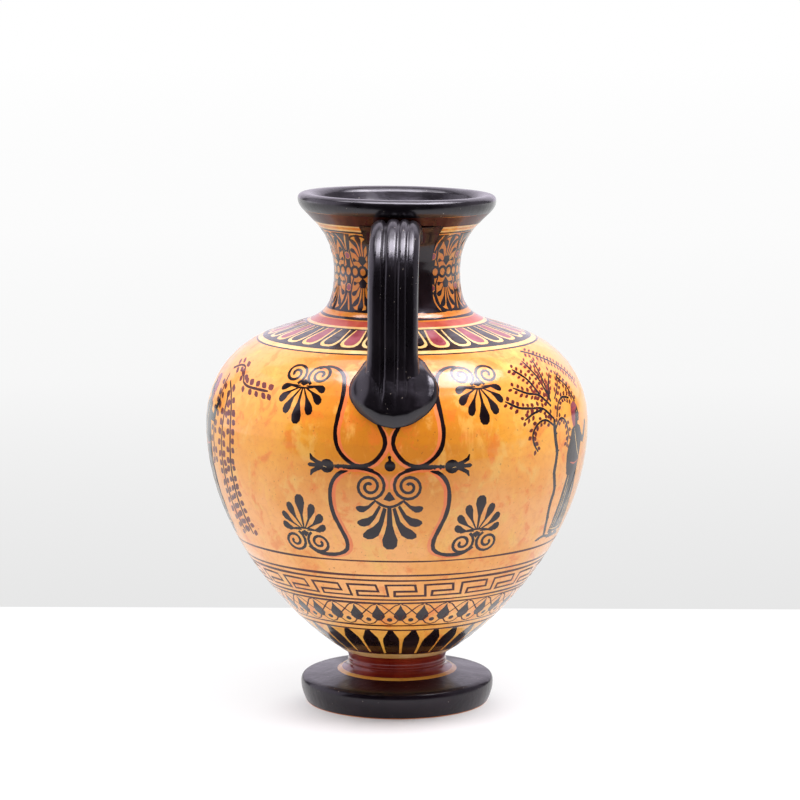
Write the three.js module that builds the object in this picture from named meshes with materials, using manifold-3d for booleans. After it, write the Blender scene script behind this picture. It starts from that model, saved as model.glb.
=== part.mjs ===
// A small painted neck amphora: one fired clay vessel with a disc foot, a full body, a narrow neck,
// a flaring lip and two reeded strap handles that run from under the lip down to the shoulder.
// Millimetres, +Z up. The origin is on the vessel's axis, in the plane of the foot's resting ring,
// and the handles stand over the -Y and +Y sides.
import * as THREE from 'three';
import { mergeVertices } from 'three/addons/utils/BufferGeometryUtils.js';
import { ParametricGeometry } from 'three/addons/geometries/ParametricGeometry.js';
import Module from 'manifold-3d';

// ---- Driving dimensions ------------------------------------------------------------------------
const height = 240;
const wall = 5;
const roundSegments = 56;

const foot = { restRadius: 42.7, edgeRadius: 45.4, topRadius: 42, edgeHeight: 9, topHeight: 12.8 };
const recess = { outerRadius: 34, innerRadius: 31, depth: 3 };
const stem = { ringRadius: 27.3, ringHeight: 15.4, waistRadius: 22.6, waistHeight: 20.6 };
const bodyStart = { radius: 24, height: 24 };
const belly = { radius: 89.2, height: 132.5 };
const shoulder = { radius: 61.7, height: 174.3 };
const neck = { radius: 29.5, height: 203 };
const lipUnder = { radius: 43.8, height: 232.2 };
const lip = { radius: 46.1, height: 237.3, crestRadius: 42.5, innerRadius: 37.5, innerHeight: 237.4 };
const cavityFloor = 27;
const rootDepth = 1.5;

// The strap handle: its centre line as [distance from the vessel's axis, height], from the neck's
// wall to the wall of the shoulder, and its half width and half thickness along that line.
const strapLine = [[28, 220], [42, 226.5], [58, 226], [72, 213], [77, 190], [78.5, 169], [83.2, 153.5], [85, 142]];
const strap = { halfWidth: 11.4, halfThickness: 4.6, neckHalfWidth: 12 };
const lobe = { halfWidth: 19.4, start: 0.72, widest: 0.85, bodyRadius: 84 };
const reeds = { count: 4, grooveDepth: 1.3, fadeStart: 0.55, fadeEnd: 0.95 };
const strapSteps = 26;

// ---- Helpers -----------------------------------------------------------------------------------
const point = (radius, z) => new THREE.Vector2(radius, z);

// Points along a cubic curve, without its first point, so that curves join end to end.
function curve(start, startHandle, endHandle, end, steps) {
  const bezier = new THREE.CubicBezierCurve(start, startHandle, endHandle, end);
  return bezier.getPoints(steps).slice(1);
}

function smoothStep(from, to, value) {
  return THREE.MathUtils.smoothstep(value, from, to);
}

const wasm = await Module();
wasm.setup();

// A closed three.js geometry as a manifold solid. Triangles that collapse to a line are left out.
function toSolid(geometry) {
  const bare = geometry.clone();
  bare.deleteAttribute('normal');
  bare.deleteAttribute('uv');
  const merged = mergeVertices(bare, 1e-4);
  const index = merged.index.array;
  const triangles = [];
  for (let i = 0; i < index.length; i += 3) {
    const [a, b, c] = [index[i], index[i + 1], index[i + 2]];
    if (a !== b && b !== c && c !== a) triangles.push(a, b, c);
  }
  const solid = new wasm.Manifold(new wasm.Mesh({
    numProp: 3,
    vertProperties: new Float32Array(merged.attributes.position.array),
    triVerts: new Uint32Array(triangles),
  }));
  if (solid.volume() < 0) throw new Error('a solid faces inwards');
  return solid;
}

function toGeometry(solid) {
  const mesh = solid.getMesh();
  const geometry = new THREE.BufferGeometry();
  geometry.setAttribute('position', new THREE.BufferAttribute(new Float32Array(mesh.vertProperties), 3));
  geometry.setIndex(new THREE.BufferAttribute(new Uint32Array(mesh.triVerts), 1));
  geometry.computeVertexNormals();
  return geometry;
}

// A solid of revolution about +Z from a profile of (radius, height) that starts and ends on the axis.
function turned(profile) {
  const geometry = new THREE.LatheGeometry(profile, roundSegments);
  geometry.rotateX(Math.PI / 2);
  return toSolid(geometry);
}

// ---- Vessel ------------------------------------------------------------------------------------
const stemTop = point(bodyStart.radius, bodyStart.height);
const bellyPoint = point(belly.radius, belly.height);
const shoulderPoint = point(shoulder.radius, shoulder.height);
const neckPoint = point(neck.radius, neck.height);

// The outer wall from the stem to the waist of the neck: lower body, upper body, shoulder and neck.
function bodyWall(lowerSteps, upperSteps) {
  return [
    stemTop,
    ...curve(stemTop, point(44.3, 35.6), point(belly.radius, 78.6), bellyPoint, lowerSteps),
    ...curve(bellyPoint, point(belly.radius, 153.6), point(77.5, 167.7), shoulderPoint, upperSteps),
    ...curve(shoulderPoint, point(41.7, 182.5), point(neck.radius, 179), neckPoint, upperSteps),
  ];
}

function footProfile() {
  const rest = point(foot.restRadius, 0);
  const edge = point(foot.edgeRadius, foot.edgeHeight);
  const top = point(foot.topRadius, foot.topHeight);
  const ring = point(stem.ringRadius, stem.ringHeight);
  const waist = point(stem.waistRadius, stem.waistHeight);
  return [
    point(0, recess.depth),
    point(recess.innerRadius, recess.depth),
    point(recess.outerRadius, 0),
    rest,
    ...curve(rest, point(43.8, 2.5), point(foot.edgeRadius, 5.5), edge, 2),
    ...curve(edge, point(foot.edgeRadius, 11.5), point(44.4, 12.5), top, 2),
    ring,
    ...curve(ring, point(24.2, 16.4), point(stem.waistRadius, 18), waist, 3),
  ];
}

function lipProfile() {
  const under = point(lipUnder.radius, lipUnder.height);
  const widest = point(lip.radius, lip.height);
  const crest = point(lip.crestRadius, height);
  const inner = point(lip.innerRadius, lip.innerHeight);
  return [
    ...curve(neckPoint, point(neck.radius, 218), point(35, 223.4), under, 5),
    ...curve(under, point(45.4, 233.9), point(lip.radius, 235.5), widest, 2),
    ...curve(widest, point(lip.radius, 239), point(44.6, height), crest, 3),
    ...curve(crest, point(40.4, height), point(38.6, 239.2), inner, 3),
  ];
}

// The inner wall, from the lip down to the floor: the body's wall moved inwards by its thickness.
function cavityProfile(thickness) {
  const outer = bodyWall(7, 4);
  const inner = outer.map((at, i) => {
    const before = outer[Math.max(i - 1, 0)];
    const after = outer[Math.min(i + 1, outer.length - 1)];
    const along = after.clone().sub(before).normalize();
    return point(at.x - along.y * thickness, at.y + along.x * thickness);
  });
  const throatRadius = neck.radius - thickness;
  const mouth = point(lip.innerRadius, lip.innerHeight);
  const throatEnd = point(throatRadius, neck.height);
  const throat = curve(mouth, point(33.5, 230), point(throatRadius, 222), throatEnd, 4);
  return [...throat, ...inner.reverse().slice(1), point(0, cavityFloor)];
}

function vessel() {
  return turned([...footProfile(), ...bodyWall(11, 6), ...lipProfile(), ...cavityProfile(wall)]);
}

// What fills the vessel and a thin layer of its wall: the handles' roots are trimmed to end inside
// the wall.
function filling() {
  const rim = [point(0, lip.innerHeight), point(lip.innerRadius, lip.innerHeight)];
  return turned([...rim, ...cavityProfile(wall - rootDepth)].reverse());
}

// ---- Handles -----------------------------------------------------------------------------------
const strapCurve = new THREE.CatmullRomCurve3(strapLine.map(([out, z]) => new THREE.Vector3(0, -out, z)));

// Half the strap's width at a fraction of its length: it swells to a rounded lobe on the shoulder.
function halfWidthAt(t) {
  if (t < lobe.start) {
    return THREE.MathUtils.lerp(strap.neckHalfWidth, strap.halfWidth, smoothStep(0, 0.4, t));
  }
  if (t < lobe.widest) {
    return THREE.MathUtils.lerp(strap.halfWidth, lobe.halfWidth, smoothStep(lobe.start, lobe.widest, t));
  }
  const past = (t - lobe.widest) / (1 - lobe.widest);
  return lobe.halfWidth * Math.sqrt(Math.max(0, 1 - past * past));
}

// One cross-section, as [across, outwards]: flat inside, with reeds and grooves between them outside.
function section(t) {
  const points = [];
  const halfWidth = halfWidthAt(t);
  const fade = 1 - smoothStep(reeds.fadeStart, reeds.fadeEnd, t);
  const half = reeds.count;
  for (let i = 0; i <= 2 * half; i += 1) {
    const across = 1 - i / half;
    const isGroove = i % 2 === 0 && i > 0 && i < 2 * half;
    const crown = strap.halfThickness * (1 - 0.75 * across ** 4);
    points.push([across * halfWidth, crown - (isGroove ? reeds.grooveDepth * fade : 0)]);
  }
  for (const across of [-1, -0.75, 0, 0.75, 1]) {
    const crown = strap.halfThickness * (1 - 0.75 * across ** 4);
    points.push([across * halfWidth, -crown]);
  }
  return points;
}

function handle() {
  const sides = section(0).length;
  // The section bends round the shoulder as the strap turns into the lobe.
  const place = (u, v, target) => {
    const t = Math.min(Math.max(v, 0.001), 0.999);
    const centre = strapCurve.getPoint(t);
    const along = strapCurve.getTangent(t);
    const outwards = new THREE.Vector3(0, along.z, -along.y);
    const closing = v === 0 || v === 1 ? 0 : 1;
    const [across, out] = section(t)[Math.round(u * sides) % sides];
    const sag = smoothStep(lobe.start, lobe.widest, t) * across ** 2 / (2 * lobe.bodyRadius);
    target.set(across * closing, 0, 0).addScaledVector(outwards, (out - sag) * closing).add(centre);
  };
  return toSolid(new ParametricGeometry(place, sides, strapSteps));
}

// ---- Assembly ----------------------------------------------------------------------------------
const fill = filling();
const frontHandle = handle().subtract(fill);
const backHandle = frontHandle.rotate([0, 0, 180]);
const amphora = new THREE.Mesh(
  toGeometry(vessel().add(frontHandle).add(backHandle)),
  new THREE.MeshStandardMaterial({ color: 0xd98a3d, roughness: 0.4, metalness: 0 }),
);
amphora.name = 'amphora';

const group = new THREE.Group();
group.add(amphora);

export default group;
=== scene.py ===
"""Visual model of a small painted neck amphora, a hand-painted souvenir in black-figure style.

The vessel is one mesh. Its painted wall is a surface of revolution, cut along the outline of every
brush mark, so that each mark has its own faces and material. Wall places are (angle, run): the angle
in degrees from the front handle towards +X, and the run in millimetres up the wall from the stem.
"""
import math
import random

import bmesh
import bpy
import numpy as np
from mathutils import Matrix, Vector
from mathutils.geometry import delaunay_2d_cdt


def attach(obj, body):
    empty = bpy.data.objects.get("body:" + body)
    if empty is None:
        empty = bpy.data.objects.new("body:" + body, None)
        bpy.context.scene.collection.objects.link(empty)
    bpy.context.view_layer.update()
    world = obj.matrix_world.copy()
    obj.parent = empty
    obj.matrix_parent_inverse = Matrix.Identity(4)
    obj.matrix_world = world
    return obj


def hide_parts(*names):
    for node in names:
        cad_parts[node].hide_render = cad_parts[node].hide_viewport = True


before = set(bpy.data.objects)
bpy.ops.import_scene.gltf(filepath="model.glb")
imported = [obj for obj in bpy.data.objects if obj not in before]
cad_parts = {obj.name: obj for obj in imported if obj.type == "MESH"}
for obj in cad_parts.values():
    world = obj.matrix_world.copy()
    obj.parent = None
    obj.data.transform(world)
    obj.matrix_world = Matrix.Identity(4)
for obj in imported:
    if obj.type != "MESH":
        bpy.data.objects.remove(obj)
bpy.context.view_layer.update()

MM = 0.001
# Faces round the vessel, and the height in millimetres of a row of faces on the painted wall.
SEGMENTS = 240
GRID_RUN = 2.6

# ---- The vessel's form, in millimetres, as in the CAD model ----
HEIGHT = 240
WALL_THICKNESS = 5
STEM_TOP = (24, 24)
BELLY = (89.2, 132.5)
SHOULDER = (61.7, 174.3)
NECK = (29.5, 203)
LIP_UNDER = (43.8, 232.2)
LIP = (46.1, 237.3)
LIP_CREST = (42.5, HEIGHT)
LIP_INNER = (37.5, 237.4)
THROAT = (24.5, 203)
# How much lower the lip stands at +X, and higher at -X: it was pressed slightly out of true. The
# leaning starts at one height and is complete at another.
LIP_TILT = 0.65
LEANS_FROM, LEANS_FULLY = 205, 235
CAVITY_FLOOR = 27
FOOT_EDGE = (45.4, 9)
FOOT_TOP = (42, 12.8)
STEM_RING = (27.3, 15.4)
STEM_WAIST = (22.6, 20.6)

# Paints, in the order of the mesh's material slots.
PAINTS = ["ground", "black", "maroon", "red", "cream", "brown", "clay", "stem", "wash", "leaf", "satin",
          "dull"]
GROUND, BLACK, MAROON, RED, CREAM, BROWN, CLAY, STEM, WASH, LEAF, SATIN, DULL = range(len(PAINTS))


def bezier(start, start_handle, end_handle, end, count):
    """A cubic curve as count steps from start to end."""
    t = np.linspace(0, 1, count + 1)[:, None]
    a, b, c, d = (np.array(p, float) for p in (start, start_handle, end_handle, end))
    return (1 - t) ** 3 * a + 3 * (1 - t) ** 2 * t * b + 3 * (1 - t) * t**2 * c + t**3 * d


def mirrored(half):
    """An outline from its right half: the half itself, then its mirror image back to the start."""
    return half + [(-x, y) for x, y in half[::-1] if x]


def joined(*stretches):
    """Stretches of a curve end to end, without doubled points."""
    return np.concatenate([stretches[0]] + [s[1:] for s in stretches[1:]])


def sides_of(profile):
    """The unit normal at each point of a profile that runs up the outside."""
    along = np.gradient(profile, axis=0)
    along /= np.linalg.norm(along, axis=1)[:, None]
    return np.stack([along[:, 1], -along[:, 0]], 1)


def smooth(points, step=1.6, closed=False):
    """Points about `step` apart on a smooth curve through the given points."""
    pts = [np.array(p, float) for p in points]
    count = len(pts)
    out = []
    for i in range(count if closed else count - 1):
        if closed:
            a, b, c, d = (pts[(i + k) % count] for k in (-1, 0, 1, 2))
        else:
            b, c = pts[i], pts[i + 1]
            a = pts[i - 1] if i else 2 * b - c
            d = pts[i + 2] if i + 2 < count else 2 * c - b
        steps = max(1, round(float(np.linalg.norm(c - b)) / step))
        for t in np.arange(steps) / steps:
            bend = 2 * a - 5 * b + 4 * c - d
            twist = 3 * b - a - 3 * c + d
            out.append(0.5 * (2 * b + (c - a) * t + bend * t**2 + twist * t**3))
    if not closed:
        out.append(pts[-1])
    return out


class Wall:
    """The outer wall from the stem to the lip, measured by the run along it. It bulges to the belly,
    turns in over the shoulder to the neck, and flares to the lip."""

    def __init__(self):
        fine = 500
        self.points = joined(
            bezier(STEM_TOP, (44.3, 35.6), (BELLY[0], 78.6), BELLY, fine),
            bezier(BELLY, (BELLY[0], 153.6), (77.5, 167.7), SHOULDER, fine),
            bezier(SHOULDER, (41.7, 182.5), (NECK[0], 179), NECK, fine),
            bezier(NECK, (NECK[0], 218), (35, 223.4), LIP_UNDER, fine),
        )
        steps = np.linalg.norm(np.diff(self.points, axis=0), axis=1)
        self.runs = np.concatenate([[0], np.cumsum(steps)])
        self.normals = sides_of(self.points)
        self.length = self.runs[-1]

    def radius(self, run):
        return float(np.interp(run, self.runs, self.points[:, 0]))

    def run_at_height(self, z):
        return float(np.interp(z, self.points[:, 1], self.runs))

    def place(self, angle, run):
        """Positions and normals, as arrays of x, y, z, at arrays of angles and runs."""
        radius = np.interp(run, self.runs, self.points[:, 0])
        z = np.interp(run, self.runs, self.points[:, 1])
        out = np.interp(run, self.runs, self.normals[:, 0])
        up = np.interp(run, self.runs, self.normals[:, 1])
        turn = np.radians(angle)
        sin, cos = np.sin(turn), np.cos(turn)
        return (
            np.stack([radius * sin, -radius * cos, z], -1),
            np.stack([out * sin, -out * cos, up], -1),
        )


WALL = Wall()


# ---- Collecting faces ----
class Faces:
    """Everything the mesh is made from, before its doubled points are merged."""

    def __init__(self):
        self.points, self.normals, self.faces, self.paints, self.uvs = [], [], [], [], []
        self.count = 0

    def add(self, points, normals, faces, paints, uvs):
        """uvs holds one list of corners for each face."""
        self.points.append(np.asarray(points, float))
        self.normals.append(np.asarray(normals, float))
        self.faces.extend(tuple(i + self.count for i in face) for face in faces)
        self.paints.extend(paints)
        self.uvs.extend(uvs)
        self.count += len(points)


# The share of the texture's height that each paint gets: a strip from low to high.
PLAIN, FRONT_STRAP, BACK_STRAP = range(len(PAINTS), len(PAINTS) + 3)
STRIPS = {GROUND: (0.0, 0.4), BLACK: (0.41, 0.56), PLAIN: (0.57, 0.68), FRONT_STRAP: (0.69, 0.74),
          BACK_STRAP: (0.75, 0.80), CREAM: (0.81, 0.84), MAROON: (0.85, 0.88), RED: (0.89, 0.905),
          BROWN: (0.915, 0.93), STEM: (0.94, 0.95), WASH: (0.96, 0.97), LEAF: (0.98, 0.995)}
STRIPS[SATIN] = STRIPS[DULL] = STRIPS[BLACK]

# The runs at which the painted zones end, from the foot up.
RAYS, CHAIN, SCENE, COLLAR, FRIEZE = 33.0, 78.6, 183.0, 216.5, 267.0


def strip_place(paint, across, up):
    """A place in a paint's strip of the texture, from shares of its width and height."""
    low, high = STRIPS[paint]
    return (across, low + (high - low) * up)


# ---- Handle roots: low pads that rise out of the shoulder ----
# Half of the pad's outline as (angle, run) from the handle's middle, and its height in millimetres.
PAD_OUTLINE = [(0, 142.5), (4.5, 144), (8, 147), (10.5, 150), (13, 155), (14, 160), (13.6, 165), (12, 170),
               (10.8, 175), (8.5, 179.5)]
PAD_HEIGHT = 1.9
PAD_RIM = 2.4
# The strap's lower end as it sinks into the pad: (run, height above the wall), and its sideways lean.
STRAP_SINKS = [(141, 2.4), (145, 3.6), (150, 4.2), (156, 4.9), (161, 5.5), (165, 6.0), (169, 5.2),
               (174, 2.2), (179, 0.2)]
STRAP_LEAN = -1.0
# Grooves between the four reeds: place across the strap from -1 to 1, depth and width in millimetres.
GROOVES = [(-0.4, 2.2, 0.95), (0.15, 1.4, 0.7), (0.54, 1.0, 0.7)]
STRAP_HALF_WIDTH = 11.2
# The share of the grooves' depth that is left at the strap's lower end.
REEDING_LEFT = 0.85


def smooth_step(low, high, value):
    """0 at low and 1 at high, with an S-curve between; high may be the smaller one."""
    t = np.clip((value - low) / (high - low), 0, 1)
    return t * t * (3 - 2 * t)


def pad_loop():
    """The pad's whole outline as (across, run) in millimetres from the handle's middle."""
    half = [(math.radians(a) * WALL.radius(r), r) for a, r in PAD_OUTLINE]
    right = smooth(half, 1.4)
    return np.array(right + [np.array((-x, r)) for x, r in right[:0:-1]])


PAD_LOOP = pad_loop()


def inside_distance(x, run):
    """How far points lie inside the pad's outline, in millimetres; zero outside it."""
    nearest = np.full(x.shape, 1e9)
    crossings = np.zeros(x.shape, int)
    for (ax, ay), (bx, by) in zip(PAD_LOOP, np.roll(PAD_LOOP, -1, axis=0)):
        length = (bx - ax) ** 2 + (by - ay) ** 2
        t = np.clip(((x - ax) * (bx - ax) + (run - ay) * (by - ay)) / length, 0, 1)
        nearest = np.minimum(nearest, np.hypot(x - ax - t * (bx - ax), run - ay - t * (by - ay)))
        if ay != by:
            spans = (ay > run) != (by > run)
            crossings += spans & (x < ax + (run - ay) * (bx - ax) / (by - ay))
    return np.where(crossings % 2 == 1, nearest, 0)


def reeding(across):
    """Depth of the grooves, less the slight crowns of the reeds, at places across the strap."""
    cut = sum(d * np.exp(-((np.abs(across - p * STRAP_HALF_WIDTH) / w) ** 1.15)) for p, d, w in GROOVES)
    reeds = [p * STRAP_HALF_WIDTH for p in (-0.7, -0.13, 0.34, 0.76)]
    return cut - sum(0.2 * np.exp(-(((across - p) / 1.8) ** 2)) for p in reeds)


SINK_CURVE = np.array(smooth(STRAP_SINKS, 0.8))


def relief(angle, run):
    """How far the wall stands out at arrays of angles and runs: the pads, and slight hand throwing."""
    turn = np.radians((angle + 90) % 180 - 90)
    x = turn * np.interp(run, WALL.runs, WALL.points[:, 0])
    depth = inside_distance(x, run)
    # The pad's rim is rounder at its low end, and its wings run out level with the wall at the top.
    low_end = 1 - smooth_step(145, 158, run)
    rim_width = PAD_RIM + 3.2 * low_end
    rim = np.sin(np.clip(depth / rim_width, 0, 1) * math.pi / 2) ** 0.8
    wing = PAD_HEIGHT * (1 - smooth_step(164, 179, run))
    # Along its middle the pad carries the end of the strap, with its grooves.
    across = x - STRAP_LEAN
    sinking = np.interp(run, SINK_CURVE[:, 0], SINK_CURVE[:, 1])
    sinking = sinking - REEDING_LEFT * reeding(across) * smooth_step(147, 160, run)
    reach = STRAP_HALF_WIDTH + 0.8 + 2.5 * low_end
    core = 1 - smooth_step(reach - 4, reach + 5.5, np.abs(across))
    pad = rim * (wing + np.clip(sinking - wing, 0, None) * core)
    # Throwing rings and a slightly oval body fade out where the wall meets the foot and the lip.
    thrown = 0.05 * np.sin(run * 0.9 + 0.8 * np.sin(np.radians(angle)))
    thrown = thrown + 0.10 * np.sin(np.radians(2 * angle) + run / 31)
    thrown = thrown * smooth_step(0, 8, run) * smooth_step(FRIEZE, FRIEZE - 9, run)
    return np.where(depth > 0, pad, 0) + thrown


def raised(angle, run):
    """Positions and normals on the wall with its relief."""
    places, normals = WALL.place(angle, run)
    here = relief(angle, run)
    step = 0.15
    turn = math.degrees(1) * step / np.interp(run, WALL.runs, WALL.points[:, 0])
    # The normal leans away from the side on which the relief rises.
    across_rise = (relief(angle + turn, run) - relief(angle - turn, run)) / (2 * step)
    along_rise = (relief(angle, run + step) - relief(angle, run - step)) / (2 * step)
    across = np.stack([np.cos(np.radians(angle)), np.sin(np.radians(angle)), np.zeros_like(angle)], -1)
    along = np.cross(normals, across)
    along *= np.sign(along[:, 2:3])
    places = places + normals * here[:, None]
    normals = normals - across * across_rise[:, None] - along * along_rise[:, None]
    return places, normals / np.linalg.norm(normals, axis=1)[:, None]


def handle_pad(zone, angle):
    """Black paint over a pad, with rings of points that carry its rounded rim."""
    for depth in (-0.5, 0.05, 0.35, 0.9, 1.7, 2.7, 4.2, 6.5):
        ring = []
        for i, here in enumerate(PAD_LOOP):
            along = PAD_LOOP[(i + 1) % len(PAD_LOOP)] - PAD_LOOP[i - 1]
            along /= np.linalg.norm(along)
            ring.append(here + np.array([-along[1], along[0]]) * depth)
        places = [(angle + math.degrees(x / WALL.radius(r)), float(r)) for x, r in ring]
        zone.fill(places, SATIN)
    columns = [STRAP_LEAN + 0.8 * k for k in range(-20, 21)]
    for run in np.arange(146.5, 176, 1.6):
        for x in columns:
            if inside_distance(np.array([x]), np.array([run]))[0] > 3:
                zone.extra.append((angle + math.degrees(x / WALL.radius(run)), float(run)))


# ---- Painted zones ----
def clip(outline, limit, keep_above):
    """The part of an outline whose angle is above, or below, a limit."""
    kept = []
    for i, here in enumerate(outline):
        before = outline[i - 1]
        inside = (here[0] >= limit) == keep_above
        was_inside = (before[0] >= limit) == keep_above
        if inside != was_inside:
            share = (limit - before[0]) / (here[0] - before[0])
            kept.append((limit, before[1] + share * (here[1] - before[1])))
        if inside:
            kept.append(here)
    return kept


class Zone:
    """A ring of the wall between two runs, with a ground paint and shapes painted over it in order."""

    def __init__(self, low, high, ground, seam=-150):
        self.low, self.high, self.ground, self.seam = low, high, ground, seam
        self.shapes = []
        # Further places for the mesh to pass through, where it needs finer faces.
        self.extra = []
        self.scale = math.radians(1) * WALL.radius((low + high) / 2)

    def fill(self, outline, paint):
        """Paints the inside of an outline of (angle, run), in two parts if it crosses the seam."""
        area = sum(p[0] * q[1] - q[0] * p[1] for p, q in zip(outline, outline[1:] + outline[:1]))
        if area < 0:
            outline = outline[::-1]
        middle = sum(p[0] for p in outline) / len(outline)
        shift = -360 * math.floor((middle - self.seam) / 360)
        outline = [(a + shift, r) for a, r in outline]
        for turn in (-360, 0, 360):
            moved = [(a + turn, r) for a, r in outline]
            if min(a for a, r in moved) >= self.seam and max(a for a, r in moved) <= self.seam + 360:
                self.shapes.append((moved, paint))
                return
        for turn in (-360, 0, 360):
            part = [(a + turn, r) for a, r in outline]
            part = clip(clip(part, self.seam, True), self.seam + 360, False)
            if len(part) > 2:
                self.shapes.append((part, paint))

    def ring(self, low, high, paint, wobble=0.0, phase=0.0):
        """A painted band right round the vessel, with slightly uneven edges."""
        turns = np.linspace(self.seam, self.seam + 360, 121)
        edges = []
        for run, shift in ((low, 0.0), (high, 1.7)):
            turn = np.radians(turns)
            uneven = np.sin(3 * turn + phase + shift) + 0.6 * np.sin(8 * turn + 2 * phase - shift)
            edges.append(np.clip(run + wobble * uneven, self.low, self.high))
        lower = list(zip(turns.tolist(), edges[0].tolist()))
        upper = list(zip(turns.tolist(), edges[1].tolist()))
        self.shapes.append((lower + upper[::-1], paint))

    def build(self, faces):
        """Cuts the zone along every outline and gives each face the paint of its topmost shape."""
        points, outlines = [], []

        def outline(places):
            first = len(points)
            points.extend(Vector((a * self.scale, r)) for a, r in places)
            outlines.append(list(range(first, len(points))))

        turns = [self.seam + 360 * i / SEGMENTS for i in range(SEGMENTS + 1)]
        rows = max(2, round((self.high - self.low) / GRID_RUN))
        runs = [self.low + (self.high - self.low) * j / rows for j in range(rows + 1)]
        left = [(turns[0], r) for r in runs[-2:0:-1]]
        right = [(turns[-1], r) for r in runs[1:-1]]
        bottom = [(a, self.low) for a in turns]
        top = [(a, self.high) for a in turns[::-1]]
        outline(bottom + right + top + left)
        for places, _ in self.shapes:
            outline(places)
        for r in runs[1:-1]:
            points.extend(Vector((a * self.scale, r)) for a in turns[1:-1])
        points.extend(Vector((a * self.scale, r)) for a, r in self.extra)
        flat, _, triangles, _, _, owners = delaunay_2d_cdt(points, [], outlines, 0, 1e-5, True)
        places = np.array([(p.x / self.scale, p.y) for p in flat])
        kept, paints, uvs = [], [], []
        share = (places - (self.seam, 0)) / (360, WALL.length)
        for triangle, own in zip(triangles, owners):
            if not own:
                continue
            top_shape = max(own) - 1
            paint = self.ground if top_shape < 0 else self.shapes[top_shape][1]
            kept.append(triangle)
            paints.append(paint)
            uvs.append([strip_place(paint, *share[i]) for i in triangle])
        positions, normals = raised(places[:, 0], places[:, 1])
        faces.add(positions, normals, kept, paints, uvs)


# ---- Turned parts without painted marks ----
def turned(faces, profile, paints, seam, share):
    """A ring of quads for each step of a profile of (radius, height). share is its part of the strip
    of plain parts, as (low, high). A profile may start or end on the axis."""
    normals = sides_of(profile)
    turns = np.radians(seam + 360 * np.arange(SEGMENTS + 1) / SEGMENTS)
    sin, cos = np.sin(turns), np.cos(turns)
    sin[-1], cos[-1] = sin[0], cos[0]
    points, sides = [], []
    for (radius, z), (out, up) in zip(profile, normals):
        points.append(np.stack([radius * sin, -radius * cos, np.full_like(sin, z)], -1))
        sides.append(np.stack([out * sin, -out * cos, np.full_like(sin, up)], -1))
    across = SEGMENTS + 1
    quads, marks, uvs = [], [], []
    run = np.concatenate([[0], np.cumsum(np.linalg.norm(np.diff(profile, axis=0), axis=1))])
    run = share[0] + (share[1] - share[0]) * run / run[-1]
    for j, paint in enumerate(paints):
        for i in range(SEGMENTS):
            a = j * across + i
            corners = [(i, j), (i + 1, j), (i + 1, j + 1), (i, j + 1)]
            if profile[j][0] < 1e-9:
                corners.pop(1)
            elif profile[j + 1][0] < 1e-9:
                corners.pop(2)
            quads.append([c[1] * across + c[0] for c in corners])
            marks.append(paint)
            uvs.append([strip_place(PLAIN, c[0] / SEGMENTS, run[c[1]]) for c in corners])
    faces.add(np.concatenate(points), np.concatenate(sides), quads, marks, uvs)


# ---- Brush work ----
HAND = random.Random(11)


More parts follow.
